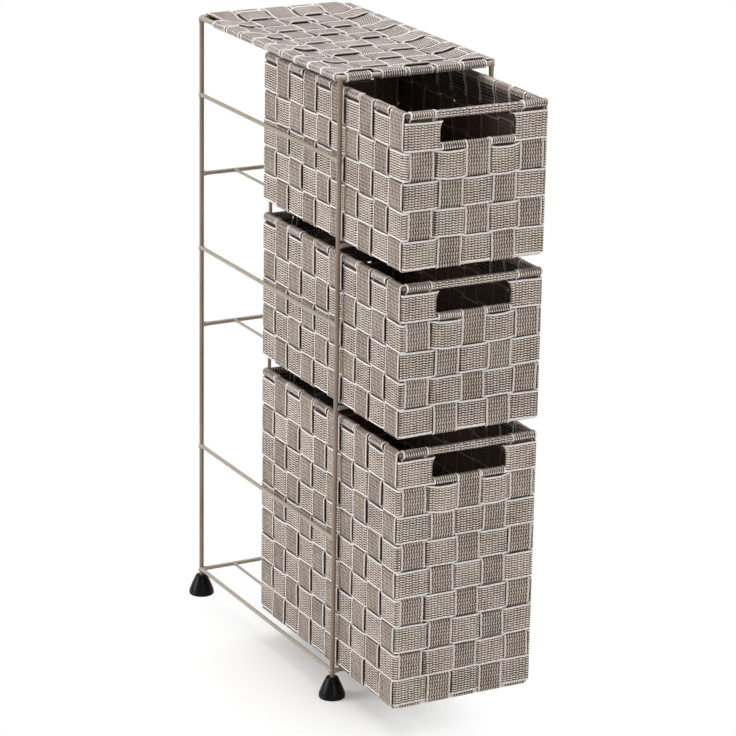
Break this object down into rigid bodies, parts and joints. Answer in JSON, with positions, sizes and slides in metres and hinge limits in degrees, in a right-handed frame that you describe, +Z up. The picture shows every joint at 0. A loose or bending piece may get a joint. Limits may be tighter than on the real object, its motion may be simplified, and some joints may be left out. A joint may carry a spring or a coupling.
{
  "type": "woven drawer tower",
  "caption": "Slim free-standing bathroom tower: welded rod frame on cone feet, strap-woven top, and sliding strap-woven drawers with finger slots",
  "frame": {"origin": "on the floor, midway between the four feet", "axes": "+X to the right as seen by someone facing the drawers, +Y from the drawer fronts to the back, +Z up"},
  "size_m": [0.1928, 0.4442, 0.645],
  "materials": {
    "frame_paint": "taupe paint, half gloss",
    "webbing": "greige webbing with a fine zigzag rib and pale edges",
    "drawer_wire": "dark paint, matt",
    "foot_rubber": "black, satin"
  },
  "bodies": {
    "frame": {"back_stop_rod": "frame_paint", "bottom_front_cross_rod": "frame_paint", "bottom_left_guard": "frame_paint", "bottom_rear_cross_rod": "frame_paint", "bottom_right_guard": "frame_paint", "bottom_runners": "frame_paint", "feet": "foot_rubber", "front_left_post": "frame_paint", "front_right_post": "frame_paint", "left_base_rail": "frame_paint", "middle_front_cross_rod": "frame_paint", "middle_left_guard": "frame_paint", "middle_rear_cross_rod": "frame_paint", "middle_right_guard": "frame_paint", "middle_runners": "frame_paint", "rear_left_post": "frame_paint", "rear_right_post": "frame_paint", "right_base_rail": "frame_paint", "top_cross_straps": "webbing", "top_front_cross_rod": "frame_paint", "top_left_guard": "frame_paint", "top_long_straps": "webbing", "top_rear_cross_rod": "frame_paint", "top_right_guard": "frame_paint", "top_ring": "frame_paint", "top_runners": "frame_paint"},
    "top_drawer": {"top_wire_frame": "drawer_wire", "top_floor_straps": "webbing", "top_front_straps": "webbing", "top_rear_straps": "webbing", "top_left_straps": "webbing", "top_right_straps": "webbing", "top_hoop_straps": "webbing", "top_rim_band": "webbing", "top_handle_lip": "webbing"},
    "middle_drawer": {"middle_wire_frame": "drawer_wire", "middle_floor_straps": "webbing", "middle_front_straps": "webbing", "middle_rear_straps": "webbing", "middle_left_straps": "webbing", "middle_right_straps": "webbing", "middle_hoop_straps": "webbing", "middle_rim_band": "webbing", "middle_handle_lip": "webbing"},
    "bottom_drawer": {"bottom_wire_frame": "drawer_wire", "bottom_floor_straps": "webbing", "bottom_front_straps": "webbing", "bottom_rear_straps": "webbing", "bottom_left_straps": "webbing", "bottom_right_straps": "webbing", "bottom_hoop_straps": "webbing", "bottom_rim_band": "webbing", "bottom_handle_lip": "webbing"}
  },
  "joints": [
    {"name": "top_drawer_slide", "type": "slide", "parent": "frame", "child": "top_drawer", "axis": [0, -1, 0], "range_m": [-0.1365, 0.095]},
    {"name": "middle_drawer_slide", "type": "slide", "parent": "frame", "child": "middle_drawer", "axis": [0, -1, 0], "range_m": [-0.1365, 0.095]},
    {"name": "bottom_drawer_slide", "type": "slide", "parent": "frame", "child": "bottom_drawer", "axis": [0, -1, 0], "range_m": [-0.1365, 0.095]}
  ]
}
